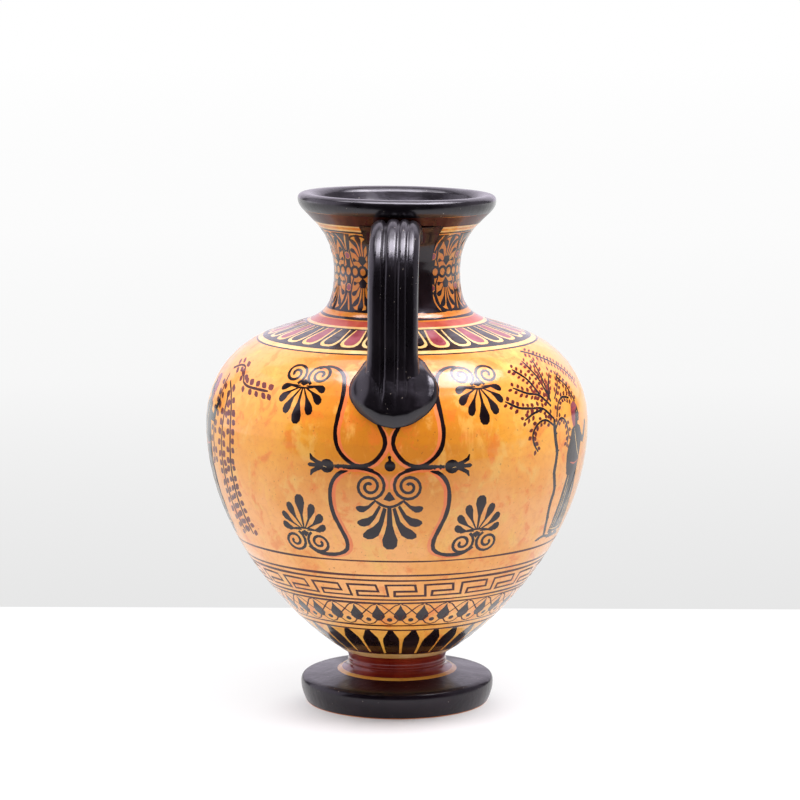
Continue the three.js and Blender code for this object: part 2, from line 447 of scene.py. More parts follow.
class Brush:
    """Draws on a zone in millimetres from an origin at (angle, run). flip = -1 mirrors the drawing
    left to right, up = -1 turns it upside down, and size enlarges it."""

    def __init__(self, zone, angle=0.0, run=0.0, flip=1, up=1, size=1.0):
        self.zone, self.angle, self.run, self.flip, self.up, self.size = zone, angle, run, flip, up, size

    def put(self, points, paint):
        """Fills an outline of local (across, along) points."""
        places = []
        for x, y in points:
            run = self.run + self.up * self.size * y
            turn = math.degrees(self.size * x / WALL.radius(run))
            places.append((self.angle + self.flip * turn, run))
        self.zone.fill(places, paint)

    def local(self, places):
        """Local points for places given as (angle, run) relative to angle 0."""
        return [(math.radians(a) * WALL.radius(r), r) for a, r in places]

    def stroke(self, points, width, paint=BLACK, taper=(0.35, 0.35), step=1.6, shift=(0, 0), curve=True):
        """A brush line through local points. taper gives the share of its width left at each end."""
        line = smooth(points, step) if curve else [np.array(p, float) for p in points]
        count = len(line)
        left, right = [], []
        for i, here in enumerate(line):
            along = line[min(i + 1, count - 1)] - line[max(i - 1, 0)]
            along /= max(np.linalg.norm(along), 1e-9)
            t = i / (count - 1)
            ends = min(1, taper[0] + 6 * t, taper[1] + 6 * (1 - t))
            half = width / 2 * ends * HAND.uniform(0.9, 1.1)
            side = np.array([-along[1], along[0]]) * half
            left.append(here + side + shift)
            right.append(here - side + shift)
        for i in range(count - 1):
            self.put([left[i], right[i], right[i + 1], left[i + 1]], paint)

    def dot(self, x, y, radius, paint=BLACK, squash=1.0, sides=8):
        start = HAND.uniform(0, 1)
        ring = [2 * math.pi * (i + start) / sides for i in range(sides)]
        self.put([(x + radius * math.cos(t), y + radius * squash * math.sin(t)) for t in ring], paint)

    def petal(self, root, tip, width, paint=BLACK, neck=0.16, bend=0.0):
        """A club-shaped petal: thin at its root, widest near its rounded tip."""
        root, tip = np.array(root, float), np.array(tip, float)
        along = tip - root
        side = np.array([-along[1], along[0]]) / np.linalg.norm(along)
        outline = []
        profile = [(0, neck), (0.4, neck + 0.12), (0.6, 0.66), (0.76, 1), (0.92, 0.88), (1, 0.4)]
        for sign in (1, -1):
            edge = []
            for t, share in profile:
                bow = bend * math.sin(math.pi * t) * np.linalg.norm(along)
                edge.append(root + along * t + side * (bow + sign * share * width / 2))
            outline += edge if sign == 1 else edge[::-1]
        self.put(outline, paint)

    def dab(self, x, y, turn, length, width, paint=BLACK):
        """A leaf: one press of the brush from (x, y) in a direction given in radians."""
        along, side = (math.cos(turn), math.sin(turn)), (-math.sin(turn), math.cos(turn))
        shape = [(0, 0.12), (0.35, 0.5), (0.7, 0.42), (1, 0.06)]
        halves = [(t * length, w * width) for t, w in shape]
        halves += [(t * length, -w * width) for t, w in shape[::-1]]
        outline = [(x + along[0] * u + side[0] * v, y + along[1] * u + side[1] * v) for u, v in halves]
        self.put(outline, paint)

    def spiral(self, x, y, radius, turns, start, sense=1, width=1.5, paint=BLACK, shift=(0, 0)):
        """Winds inwards from the angle start, in degrees, on a circle round (x, y) to a dot."""
        steps = max(8, round(turns * (10 + 0.8 * radius)))
        line = []
        for i in range(steps + 1):
            t = i / steps
            turn = math.radians(start) + sense * 2 * math.pi * turns * t
            reach = radius * (1 - 0.86 * t)
            line.append((x + reach * math.cos(turn), y + reach * math.sin(turn)))
        self.stroke(line, width, paint, taper=(1, 0.9), shift=shift, curve=False)

    def palmette(self, x, y, length, spread, width, lengths, paint=BLACK):
        """A fan of petals up from (x, y), spread degrees apart. lengths gives the length's share of each
        petal, from the middle one outwards."""
        for k in range(1 - len(lengths), len(lengths)):
            turn = math.radians(spread * k)
            reach = length * lengths[abs(k)]
            tip = (x + reach * math.sin(turn), y + reach * math.cos(turn))
            root = (x + 1.6 * math.sin(turn), y + 1.6 * math.cos(turn))
            slim = width * (1.15 if k == 0 else 0.95 - 0.05 * abs(k))
            self.petal(root, tip, slim * HAND.uniform(0.92, 1.08), paint, bend=-0.03 * k)


# ---- Foot of the wall: rays ----
RAY_COUNT = 28


def paint_rays():
    """The stem's top, a cream band and black rays that point up."""
    zone = Zone(0, RAYS, GROUND)
    zone.ring(0, 1.6, STEM, 0.12, 0.4)
    zone.ring(1.6, 6.9, CREAM, 0.3, 1.1)
    zone.ring(6.9, 8.4, BLACK, 0.25, 1.1)
    for i in range(RAY_COUNT):
        ray = Brush(zone, -2.8 + 360 * i / RAY_COUNT)
        lean = HAND.uniform(-0.5, 0.5)
        half = [(2.9, 7.9), (3.4, 14), (3.8, 20.5), (3.6, 24), (1.8, 28.8), (1.1, 30.8)]
        right = [(x + lean * y / 25, y) for x, y in half]
        left = [(lean * y / 25 - x, y - HAND.uniform(0, 1)) for x, y in half[::-1]]
        ray.put(right + left, BLACK)
    zone.ring(30.3, 31.5, BROWN, 0.12, 2.2)
    return zone


# ---- Bud chain and meander ----
# Buds of the chain and keys of the meander, round the vessel.
BUD_COUNT = 35
KEY_COUNT = 24


def paint_chain():
    """A chain of buds with crossing loops between them, and a meander between brown lines."""
    zone = Zone(RAYS, CHAIN, GROUND)
    zone.ring(33.9, 35.0, BROWN, 0.12, 0.3)
    for i in range(BUD_COUNT):
        middle = 2.5 + 360 * i / BUD_COUNT
        bud = Brush(zone, middle)
        bud.put(mirrored([(1, 38.5), (3, 41.4), (2.7, 44), (0.9, 47.4), (0, 50.4)]), BLACK)
        loop = Brush(zone, middle + 180 / BUD_COUNT)
        gap = math.radians(180 / BUD_COUNT) * WALL.radius(44)
        for side in (-1, 1):
            line = [(side * gap, 50.6), (side * 0.6 * gap, 49.8), (side * 0.2 * gap, 47.4),
                    (-side * 0.3 * gap, 44.4), (-side * 0.72 * gap, 41.6), (-side * 0.76 * gap, 38.8),
                    (-side * 0.45 * gap, 36.6), (0, 35.6)]
            loop.stroke(line, 0.68, BROWN, taper=(1, 1), step=2)
        loop.dot(0, 39.2, 1.3, squash=1.1)
    for run, phase in ((51.2, 0.5), (53.4, 1.4), (66.1, 2.3), (69.0, 0.9)):
        zone.ring(run - 0.58, run + 0.58, BROWN, 0.16, phase)
    period = math.radians(360 / KEY_COUNT) * WALL.radius(60)
    low, inner, high = 56.2, 59.2, 63.2
    for i in range(KEY_COUNT):
        key = Brush(zone, 360 * i / KEY_COUNT)
        turn, end = 0.8 * period, 1.56 * period
        corners = [(0, inner), (0, low), (turn, low), (turn, high), (end, high), (end, inner),
                   (period, inner)]
        for (x0, y0), (x1, y1) in zip(corners, corners[1:]):
            cap = 0.5 / math.hypot(x1 - x0, y1 - y0)
            start = (x0 - cap * (x1 - x0), y0 - cap * (y1 - y0))
            stop = (x1 + cap * (x1 - x0), y1 + cap * (y1 - y0))
            key.stroke([start, stop], 1.22, BROWN, taper=(1, 1), curve=False)
    zone.ring(77.0, 78.0, BROWN, 0.15, 1.9)
    return zone


# ---- Main scene: ornament under each handle, trees and robed figures between them ----
# The tendrils that leave the centre upwards and downwards, as (angle, run) from the handle's middle.
TENDRIL = [(3.2, 144), (1.3, 138), (1.5, 133), (4.5, 127), (8.6, 125), (12, 127.5), (14.8, 132.5),
           (15.8, 139.5), (15.3, 147), (14.6, 155), (14.8, 162), (16, 167.5), (19, 171), (22.5, 171.8),
           (25.5, 170)]
SCROLL = [(11.5, 123.8), (15, 121), (17.2, 116), (17.8, 109), (17.2, 102), (15.6, 95.5), (14, 89),
          (14.2, 84), (17, 81.2), (21, 80.4), (25, 81.3), (28, 84)]


def tendril(brush, places, width=1.9):
    """A brush line through (angle, run) places, with a red wash along one side."""
    line = brush.local(places)
    brush.stroke(line, width * 1.4, WASH, shift=(-1.2, -0.3), step=2.2)
    brush.stroke(line, width, BLACK, taper=(0.8, 0.5), step=2.2)


def volute_palmette(zone, angle, run, up, size, spread, reach):
    """Two spirals side by side, with a fan of petals growing from between them."""
    brush = Brush(zone, angle, run, up=up, size=size)
    for side in (-1, 1):
        brush.spiral(side * 6.7, -4.8, 6.3, 1.8, 90 + 30 * side, side, 1.5)
    brush.put(mirrored([(0, -2.4), (2.1, 0.4), (0, 1.6)]), BLACK)
    brush.stroke([(-8.6, 0.9), (-4.6, 2.2), (0, 2.6), (4.6, 2.2), (8.6, 0.9)], 1.0, taper=(0.4, 0.4))
    brush.palmette(0, 1.2, reach, spread, width=4.5, lengths=(1, 0.84, 0.75, 0.64))


def lotus_bar(zone, angle, side):
    """The short bar beside the centre that ends in a lotus bud."""
    brush = Brush(zone, angle, flip=side)
    run = 124.6
    bar = brush.local([(8.6, run - 0.2), (12, run + 0.3), (16, run)])
    brush.stroke(bar, 1.6, WASH, shift=(0, -1.0), step=2.4)
    brush.stroke(bar, 1.5, taper=(0.6, 1), step=2.4)
    middle = math.radians(18.6) * WALL.radius(run)
    for bead in (13.1, 14.8):
        brush.dot(math.radians(bead) * WALL.radius(run), run, 0.75, squash=1.7, sides=6)
    brush.dot(middle - 0.6, run, 3.4, squash=0.95, sides=12)
    for rise, reach in ((5.2, 7.6), (0.2, 8.8), (-4.8, 7.4)):
        bends = [(0, 0), (0.6, 0.34), (0.9, 0.6), (1, 1)]
        curl = [(middle + x * reach, run + y * rise) for x, y in bends]
        brush.stroke(curl, 1.9, taper=(1.4, 0.3), step=1.8)
    brush.stroke([(middle - 0.4, run - 0.6), (middle + 1.3, run - 0.2)], 0.5, CREAM, curve=False)


# The three petals beside the middle one of the central palmette: root, tip, width and bend.
CENTRE_PETALS = [((2.0, 105.6), (11, 90.2), 5.6, -0.12), ((4.2, 106.6), (14, 97.2), 4.8, -0.14),
                 ((6.4, 109), (14.8, 104.8), 3.7, -0.14)]


def handle_ornament(zone, angle):
    """Tendrils, spirals and palmettes round a centre below the handle at an angle."""
    for side in (-1, 1):
        brush = Brush(zone, angle, flip=side)
        tendril(brush, TENDRIL)
        tendril(brush, SCROLL)
        lotus_bar(zone, angle, side)
        under_bar = [(20, 124.2), (14, 124.3), (8, 123.2), (3.2, 119.8), (2, 115.5)]
        brush.stroke(under_bar, 2.4, WASH, shift=(-1, -0.8))
        brush.stroke([(20, 124.4), (14, 124.4), (9.6, 123.7), (7.2, 122.9)], 1.9, taper=(0.6, 1))
        brush.spiral(8.8, 115.8, 7.2, 2.1, 102, 1, 1.4)
    centre = Brush(zone, angle)
    centre.dot(0.4, 125.3, 2.5, sides=12)
    centre.petal((0.5, 126), (0.1, 130), 1.6, neck=0.9)
    centre.put(mirrored([(0, 108.8), (2.7, 109.8), (0.4, 113.4)]), BLACK)
    centre.stroke([(-6.8, 109.6), (-3.6, 107.2), (0, 106.2), (3.6, 107.2), (6.8, 109.6)], 1.3)
    centre.petal((0, 105.8), (0, 84.4), 7, neck=0.26)
    for side in (-1, 1):
        fan = Brush(zone, angle, flip=side)
        for root, tip, wide, bend in CENTRE_PETALS:
            fan.petal(root, tip, wide * HAND.uniform(0.95, 1.05), neck=0.3, bend=bend)
    for side in (-1, 1):
        volute_palmette(zone, angle + side * 28.8, 161.8, -1, 0.97, 26, 18.8)
        volute_palmette(zone, angle + side * 28.2, 91, 1, 0.95, 25, 19)


# The tree and the vine as (angle, run) from the middle of the handle beside them.
BRANCHES = [
    [(54.5, 136), (57.5, 140.5), (60.5, 139), (62, 132.5), (60.8, 127)],
    [(54.2, 138), (50.2, 141.3), (46.4, 139.8), (44.2, 135.5), (44.8, 131), (46.4, 127.5)],
    [(54.5, 141), (50, 146.5), (44.5, 147.5), (40, 148.5), (35.5, 152)],
    [(50, 146.5), (45.5, 145), (41.5, 142.5)],
    [(54.2, 147), (50, 152.8), (45, 154.6), (40, 158)],
    [(50.4, 153), (47.8, 161), (43.5, 167.5)],
    [(54.4, 150), (53.2, 161), (51.2, 171.5)],
    [(54.6, 149), (55.6, 163), (57.4, 171.5)],
    [(54.6, 151), (57.5, 158), (61.8, 163)],
    [(56, 141.5), (58.4, 147.6), (62, 149.8), (66, 148.6)],
    [(57, 149.8), (62, 156), (66.5, 162.5)],
    [(56, 177.5), (61, 174), (67, 168.5), (73, 162), (78, 154)],
    [(64, 160), (67.5, 154), (70, 146)],
]
TRUNK = [(60.2, 83), (58, 92), (56.7, 100), (57, 108), (55.2, 116), (55.6, 125), (54.4, 133), (54.5, 141)]
VINES = [
    [(70, 163), (66, 165.8), (62, 165.4), (59, 161), (57, 158), (53.5, 156.4), (49.5, 156), (43, 155.6)],
    [(66, 157), (61, 151), (58, 143), (57.2, 132), (57.8, 118), (57.6, 104), (56.4, 93), (55, 85)],
    [(63, 152.5), (62.2, 140), (63.2, 125), (63.2, 108), (62, 94), (60, 85)],
    [(70, 160), (68.5, 148), (69.5, 134), (70, 118)],
]


def leaves(brush, line, gap, size, plump, aside, turn, skip):
    """Leaf dabs on both sides of a branch: gap apart along it, size long, plump wide for their length,
    aside from it, turned away from it by an angle, and with a share of them left out."""
    walked = 0.0
    path = smooth(line, 0.8)
    for before, here in zip(path, path[1:]):
        along = here - before
        walked += float(np.linalg.norm(along))
        if walked < gap:
            continue
        walked = HAND.uniform(-0.3, 0.3)
        forward = math.atan2(along[1], along[0])
        for sign in (-1, 1):
            if HAND.random() < skip:
                continue
            off = forward + sign * math.pi / 2
            x, y = here[0] + aside * math.cos(off), here[1] + aside * math.sin(off)
            long = size * HAND.uniform(0.85, 1.15)
            wide = plump * size * HAND.uniform(0.85, 1.15)
            brush.dab(x, y, forward + sign * turn * HAND.uniform(0.7, 1.3), long, wide, LEAF)


def tree(zone, about, flip):
    """A tree that stands on the figures' ground beside a handle."""
    brush = Brush(zone, about, flip=flip)
    trunk = brush.local(TRUNK)
    brush.stroke(trunk, 2.3, taper=(1.5, 0.7), step=2.4)
    for x, y in trunk[1:-1]:
        brush.petal((x, y), (x + HAND.uniform(1.2, 1.8), y + 1.6), 0.9, neck=0.8)
    for branch in BRANCHES:
        line = brush.local(branch)
        brush.stroke(line, 1.1, taper=(1, 0.5), step=1.8)
        leaves(brush, line, gap=2.7, size=2.4, plump=0.74, aside=0.8, turn=0.75, skip=0.06)
    brush.stroke([(trunk[0][0] - 7, 81.3), (trunk[0][0], 83), (trunk[0][0] + 8, 81.2)], 1.6)


def vine(zone, about, flip):
    """Vines that hang down beside a handle."""
    brush = Brush(zone, about, flip=flip)
    for branch in VINES:
        line = brush.local(branch)
        brush.stroke(line, 1.3, BROWN, taper=(1, 0.6), step=2.2)
        leaves(brush, line, gap=4.1, size=3.4, plump=0.95, aside=1.2, turn=0.85, skip=0.05)


# A standing robed figure that faces +x, in millimetres from the ground between its feet.
ROBE = [(-7.6, 3), (7.8, 3), (7.4, 12), (5.6, 24), (4.6, 34), (5.4, 40), (6.8, 47.5), (4.6, 51),
        (1.7, 52.4), (-2.2, 52.4), (-5.6, 50.6), (-6.4, 44), (-5.2, 36), (-5.6, 26), (-7.2, 14)]
CLOAK = [(-7.9, 9), (-1.8, 7), (0.6, 20), (4.4, 33), (6.2, 44), (5.2, 50.4), (-2, 51.8), (-5.8, 50),
         (-7.2, 42), (-6.4, 30), (-7.6, 18)]
HEAD = [(-1.4, 51.5), (1.8, 51.5), (2.1, 53.4), (3.9, 53.6), (4.3, 54.9), (4.1, 55.6), (4.9, 56.4),
        (4.2, 58.1), (4.1, 59.8), (2.6, 61.6), (0, 62.2), (-2.8, 61.2), (-4, 58.6), (-3.6, 55.8),
        (-2.2, 54)]
HAIR = [(-3.4, 51.5), (-1.2, 52), (-0.4, 55.2), (0.6, 58), (4.0, 59.6), (2.6, 61.8), (0, 62.4), (-3, 61.4),
        (-4.2, 58.6), (-4.4, 54.6)]
FOOT = [(-1.6, 0), (5.4, 0), (5.2, 1.1), (2.2, 2.6), (1.4, 4.2), (-1.4, 4.2)]


# Folds and seams as (line, width, paint), and the run of the ground under the figures.
SEAMS = [
    ([(-5.2, 36.2), (0, 35), (4.6, 36.2)], 0.7, RED),
    ([(-2.4, 50.8), (1, 42), (5.2, 37.2)], 0.45, CREAM),
    ([(-6.9, 5), (0, 4.2), (7.1, 5)], 0.6, CREAM),
    ([(-3.9, 58.4), (0.2, 59.4), (3.9, 60)], 0.6, RED),
]
GROUND_LINE = 81


def figure(zone, angle, flip, robe, cloak, skin, arms, size=1.0):
    """A generic robed figure in the given paints; flip = -1 turns it to the left."""
    brush = Brush(zone, angle, GROUND_LINE, flip=flip, size=size)
    for x in (-4.6, 1.6):
        brush.put([(x + px, py) for px, py in FOOT], skin)
    brush.put(ROBE, robe)
    brush.put(CLOAK, cloak)
    brush.put(HEAD, skin)
    brush.put(HAIR, MAROON if skin == BLACK else BLACK)
    for arm in arms:
        brush.stroke(arm, 3.1, skin, taper=(1.15, 0.65), step=2.4)
        brush.dot(arm[-1][0], arm[-1][1], 1.4, skin)
    for x, top in ((-5.2, 30), (-3.2, 26), (1.4, 18), (3.4, 26), (5.6, 20)):
        brush.stroke([(x * 1.15, 4.4), (x, 12), (x * 0.8, top)], 0.42, CREAM, step=4)
    for line, width, paint in SEAMS:
        brush.stroke(line, width, paint, step=3)
    eye = CREAM if skin == BLACK else BLACK
    brush.stroke([(1.6, 57.5), (2.5, 57.9), (3.3, 57.5)], 0.4, eye, step=1.4)
    brush.stroke([(3.0, 55.2), (4.0, 55.3)], 0.32, eye, curve=False)


def staff(zone, angle, lean=0.0):
    """A thin staff that stands on the figures' ground."""
    brush = Brush(zone, angle, GROUND_LINE)
    brush.stroke([(-lean, 0), (0, 30), (lean, 64)], 0.8, taper=(1, 1), step=4)


# Arms, from the shoulder through the elbow to the hand.
RAISED = [(4.6, 47.5), (9.5, 44.5), (13.5, 51.5)]
FORWARD = [(4.2, 45.5), (8, 39.5), (13.6, 40.5)]
LOWERED = [(-4.6, 47), (-8, 40), (-6.4, 32)]
OPEN_ARMS = [(-4.6, 47.5), (-9.6, 46), (-12.6, 52.5)]


def side_scene(zone, middle, plant):
    """Three robed figures between two trees, or two vines."""
    for flip in (-1, 1):
        plant(zone, middle + 90 * flip, -flip)
    if plant is tree:
        figure(zone, middle - 22, 1, BLACK, BLACK, BLACK, [RAISED, LOWERED], 1.05)
        figure(zone, middle + 1.5, -1, MAROON, BLACK, CREAM, [RAISED, FORWARD])
        staff(zone, middle + 10.5, 1)
        figure(zone, middle + 20, -1, BLACK, MAROON, BLACK, [FORWARD, OPEN_ARMS])
    else:
        figure(zone, middle - 13, 1, MAROON, BLACK, CREAM, [RAISED, LOWERED], 1.18)
        staff(zone, middle - 0.5, -0.8)
        figure(zone, middle + 11.5, -1, BLACK, BLACK, BLACK, [FORWARD, OPEN_ARMS], 1.24)


def paint_scene():
    """The main zone; the handles' ornament stands a little to the left of the handles."""
    zone = Zone(CHAIN, SCENE, GROUND, seam=-135)
    side_scene(zone, 90, tree)
    side_scene(zone, -90, vine)
    for angle in (-1.3, 178.7):
        handle_ornament(zone, angle)
    for angle in (0, 180):
        handle_pad(zone, angle)
    zone.ring(180.4, 181.4, BLACK, 0.12, 0.8)
    zone.ring(181.4, SCENE, CREAM, 0.1, 0.8)
    return zone


# ---- Shoulder: tongues and rings ----
TONGUE_COUNT = 34


def tongue(zone, angle, paint, outer, inner):
    """A cream tongue with rounded lower end, filled with a darker one."""
    for half, low, high, fill in ((outer, 186.4, 204.8, CREAM), (inner, 188.2, 204.8, paint)):
        left = [(0.76, high - low), (0.94, 10), (1, 5.5), (0.92, 2.8), (0.66, 0.9), (0.3, 0.15)]
        outline = [(angle - half * x, low + y) for x, y in left]
        zone.fill(outline + [(2 * angle - a, r) for a, r in outline[::-1]], fill)


def paint_collar():
    """Tongues on a black band, and red, cream and black rings above them."""
    zone = Zone(SCENE, COLLAR, GROUND)
    zone.ring(SCENE, 184, CREAM)
    zone.ring(184, 205, BLACK, 0.15, 1.3)
    for i in range(TONGUE_COUNT):
        angle = 10.5 + 360 * i / TONGUE_COUNT + HAND.uniform(-0.3, 0.3)
        tongue(zone, angle, BLACK if i % 2 == 0 else MAROON, 4.7, 3.5)
    zone.ring(204.7, 205.8, BLACK, 0.12, 0.2)
    zone.ring(205.8, 207.6, CREAM, 0.12, 0.2)
    zone.ring(207.6, 212, RED, 0.15, 2.0)
    zone.ring(212.8, 214.3, BLACK, 0.15, 0.5)
    return zone


# ---- Neck: a frieze of palmettes and lotuses between the handles ----
# The black panel behind a handle, from left to right in degrees; the degrees from one palmette to
# the next; and the run of the chain that the frieze is mirrored about.
PANEL = (-25.5, 33.5)
FRIEZE_STEP = 33
FRIEZE_MIDDLE = 235.8
NECK_FIELD = mirrored([(5.2, 1.8), (6.9, 6), (7.4, 11), (6.2, 15.6), (3.6, 18.2), (0, 19)])
# The middle petal and the petals to one side of it: root, tip, width and bend.
NECK_PETALS = [((0, 7.4), (0, 18.6), 3.0, 0), ((1.0, 7.2), (4.4, 16), 2.7, 0.1),
               ((1.6, 6.4), (5.8, 10.8), 2.4, 0.08), ((2.0, 4.8), (5.4, 5.6), 1.9, 0)]


def neck_palmette(zone, angle):
    """Two fans of petals, up and down, in rounded orange fields, joined by a bud on the ring chain."""
    for up in (1, -1):
        brush = Brush(zone, angle, FRIEZE_MIDDLE, up=up)
        brush.put(NECK_FIELD, BLACK)
        brush.put([(x * 0.86, 1.8 + (y - 1.8) * 0.945) for x, y in NECK_FIELD], GROUND)
        brush.put(mirrored([(0, 2.6), (2.3, 5), (1.4, 7.4)]), BLACK)
        for side in (-1, 1):
            fan = Brush(zone, angle, FRIEZE_MIDDLE, flip=side, up=up)
            for root, tip, wide, bend in NECK_PETALS:
                if side == 1 or tip[0]:
                    fan.petal(root, tip, wide, neck=0.14, bend=bend)


def neck_lotus(zone, angle):
    """A black lotus above and one below, with thin orange lines left between the petals."""
    for up in (1, -1):
        brush = Brush(zone, angle, FRIEZE_MIDDLE, up=up)
        brush.put(mirrored([(1.3, 2.4), (1.7, 7), (1.5, 10), (4.4, 15.5), (6.4, 19)]), BLACK)
        for side in (-1, 1):
            brush.stroke([(side * 0.3, 10), (side * 1.1, 14), (side * 3.4, 18.6)], 0.8, GROUND, step=2)
            brush.stroke([(side * 1.7, 9.4), (side * 2.2, 5), (side * 1.5, 2.6)], 0.5, GROUND, step=2)
        brush.dot(0, 7.4, 1.9, GROUND)
        brush.dot(0, 7.4, 1.5, MAROON)


def paint_frieze():
    """The neck's two friezes, the plain panels behind the handles, and the rings below and above."""
    zone = Zone(COLLAR, FRIEZE, GROUND)
    high, line, band = 255.4, 256.4, 260
    for side in (0, 180):
        for k in range(4):
            neck_lotus(zone, side + 33.5 + FRIEZE_STEP * k)
        for k in range(4):
            neck_palmette(zone, side + 50 + FRIEZE_STEP * k)
        for k in range(14):
            link = Brush(zone, side + 37.2 + 8.6 * k, FRIEZE_MIDDLE)
            link.dot(0, 0, 2.9, BLACK, 1.05, 12)
            link.dot(0, 0, 1.5, GROUND, 1.15, 10)
    zone.ring(217, 217.8, BLACK, 0.12, 0.7)
    zone.ring(high, line, BLACK, 0.12, 0.7)
    zone.ring(line, band, CREAM, 0.1, 0.3)
    zone.ring(257.4, 258.9, GROUND, 0.1, 0.3)
    zone.ring(band, FRIEZE, BROWN, 0.15, 0.4)
    for side in (0, 180):
        left, right = side + PANEL[0], side + PANEL[1]
        panel = [(left, 217.5), (left + 20, 217.3), (right - 12, 217.5), (right, 217.6), (right + 0.8, 230),
                 (right - 0.4, 243), (right + 0.4, 260.8), (left, 260.8), (left + 0.6, 248),
                 (left - 0.5, 236)]
        zone.fill(panel, BLACK)
    return zone


# ---- Strap handles ----
# The strap's centre line as (distance from the axis, height), from the neck to the shoulder.
STRAP_LINE = [(28, 220), (42, 226.5), (58, 226), (72, 213), (77, 190), (78.5, 169), (83.2, 153.5),
              (85, 142)]
STRAP_HALF_THICKNESS = 4.6
# Points across the strap's outer side, close enough together to carry its grooves.
STRAP_POINTS = 73


def strap_section(t):
    """The strap's outline at a fraction of its length, as arrays of across and outward millimetres."""
    v = np.sin(np.linspace(1, -1, STRAP_POINTS) * math.pi / 2)
    # The last tenth of the strap closes to a rounded end.
    closing = math.sqrt(max(0.05, 1 - max(0, (t - 0.9) / 0.1) ** 2))
    wider = 0.7 * (1 - smooth_step(0, 0.3, t)) + 1.2 * smooth_step(0.7, 0.85, t)
    half = (STRAP_HALF_WIDTH + wider) * closing
    thick = STRAP_HALF_THICKNESS * (0.3 + 0.7 * closing)
    crown = thick * (1 - np.abs(v) ** 3.6) ** 0.5
    depth = 1 - (1 - REEDING_LEFT) * smooth_step(0.3, 0.6, t)
    crown = crown - depth * reeding(v * half) * (1 - np.abs(v) ** 8) * closing
    inner = v[::-2][1:-1]
    belly = -0.9 * thick * (1 - np.abs(inner) ** 3.2) ** 0.5
    across = np.concatenate([v, inner]) * half
    return across, np.concatenate([crown, belly])


def build_strap(faces, side, strip):
    """One strap, over -Y for side 1 and over +Y for side -1."""
    line = np.array(smooth(STRAP_LINE, 2.1))
    steps = np.linalg.norm(np.diff(line, axis=0), axis=1)
    share = np.concatenate([[0], np.cumsum(steps)]) / steps.sum()
    along = np.gradient(line, axis=0)
    along /= np.linalg.norm(along, axis=1)[:, None]
    rows = []
    for t, (out, z), (run_out, run_z) in zip(share, line, along):
        across, rise = strap_section(t)
        across = across + 0.6 - 1.9 * t + 0.2 * math.sin(9 * t + 0.6)
        height = z + rise * run_out
        # Neither end reaches through the wall: both stop half-way into it.
        mid_wall = np.interp(height, WALL.points[:, 1], WALL.points[:, 0]) - WALL_THICKNESS / 2
        distance = np.maximum(out - rise * run_z, np.sqrt(mid_wall ** 2 - across ** 2))
        rows.append(np.stack([side * across, -side * distance, height], -1))
    grid = np.array(rows)
    around = np.roll(grid, -1, axis=1) - np.roll(grid, 1, axis=1)
    normals = np.cross(around, np.gradient(grid, axis=0))
    normals /= np.maximum(np.linalg.norm(normals, axis=2), 1e-9)[:, :, None]
    middle = grid.mean(axis=1, keepdims=True)
    if np.sum((grid - middle) * normals) < 0:
        normals = -normals
    count, ring = grid.shape[:2]
    quads, uvs = [], []
    low, high = STRIPS[strip]
    for j in range(count - 1):
        for i in range(ring):
            k = (i + 1) % ring
            quads.append((j * ring + i, j * ring + k, (j + 1) * ring + k, (j + 1) * ring + i))
            corners = [(j, i), (j, i + 1), (j + 1, i + 1), (j + 1, i)]
            uvs.append([(share[c[0]], low + (high - low) * c[1] / ring) for c in corners])
    for end in (0, count - 1):
        quads.append([end * ring + i for i in range(ring)])
        uvs.append([(share[end], low)] * ring)
    faces.add(grid.reshape(-1, 3), normals.reshape(-1, 3), quads, [SATIN] * len(quads), uvs)


# ---- Foot, lip and inside ----
def foot_profile():
    """From the recess under the foot, out over its edge and in to the top of the stem."""
    recess = np.linspace((0, 3), (31, 3), 4)
    bevel = np.array([(31, 3), (32.6, 1.7), (34, 0.25), (34.5, 0)], float)
    rest = np.linspace((34.5, 0), (42.2, 0), 2)
    edge = bezier((42.2, 0), (42.8, 0), (43.1, 0.5), (43.4, 1.2), 3)
    side = bezier((43.4, 1.2), (44.3, 3.4), (FOOT_EDGE[0], 5.8), FOOT_EDGE, 5)
    shoulder = bezier(FOOT_EDGE, (45.4, 11.5), (44.4, 12.5), FOOT_TOP, 6)
    top = bezier(FOOT_TOP, (38, 13.4), (32, 14.0), (28.2, 14.8), 4)
    ring = bezier((28.2, 14.8), (27.7, 14.9), (27.5, 15.1), STEM_RING, 2)
    waist = bezier(STEM_RING, (25.2, 15.8), (22.8, 16.4), (22.7, 18.2), 5)
    ridge = bezier((22.7, 18.2), (22.7, 18.8), (23.2, 18.7), (23.3, 19.3), 3)
    stem = bezier((23.3, 19.3), (23.4, 20.2), (STEM_WAIST[0], 20.2), (22.9, 21.4), 4)
    top_of_stem = bezier((22.9, 21.4), (23.1, 22.4), (23.5, 23.2), STEM_TOP, 3)
    return joined(recess, bevel, rest, edge, side, shoulder, top, ring, waist, ridge, stem, top_of_stem)


def foot_paint(radius, z):
    """Bare clay underneath, dull black on the disc, an orange line and then the red stem."""
    if z < 0.5 or (radius < 34.3 and z < 4):
        return CLAY
    if radius > 28.3:
        return DULL
    return GROUND if radius > 26.6 else STEM


def lip_profile():
    """From the neck's top, over the rolled lip and down the throat."""
    outside = bezier(LIP_UNDER, (45.4, 233.9), (LIP[0], 235.5), LIP, 6)
    crest = joined(
        bezier(LIP, (LIP[0], 239), (44.6, HEIGHT), LIP_CREST, 7),
        bezier(LIP_CREST, (40.4, HEIGHT), (38.6, 239.2), LIP_INNER, 7),
    )
    throat = bezier(LIP_INNER, (35.8, 232), (25.5, 222), THROAT, 9)
    return joined(outside, crest, throat)


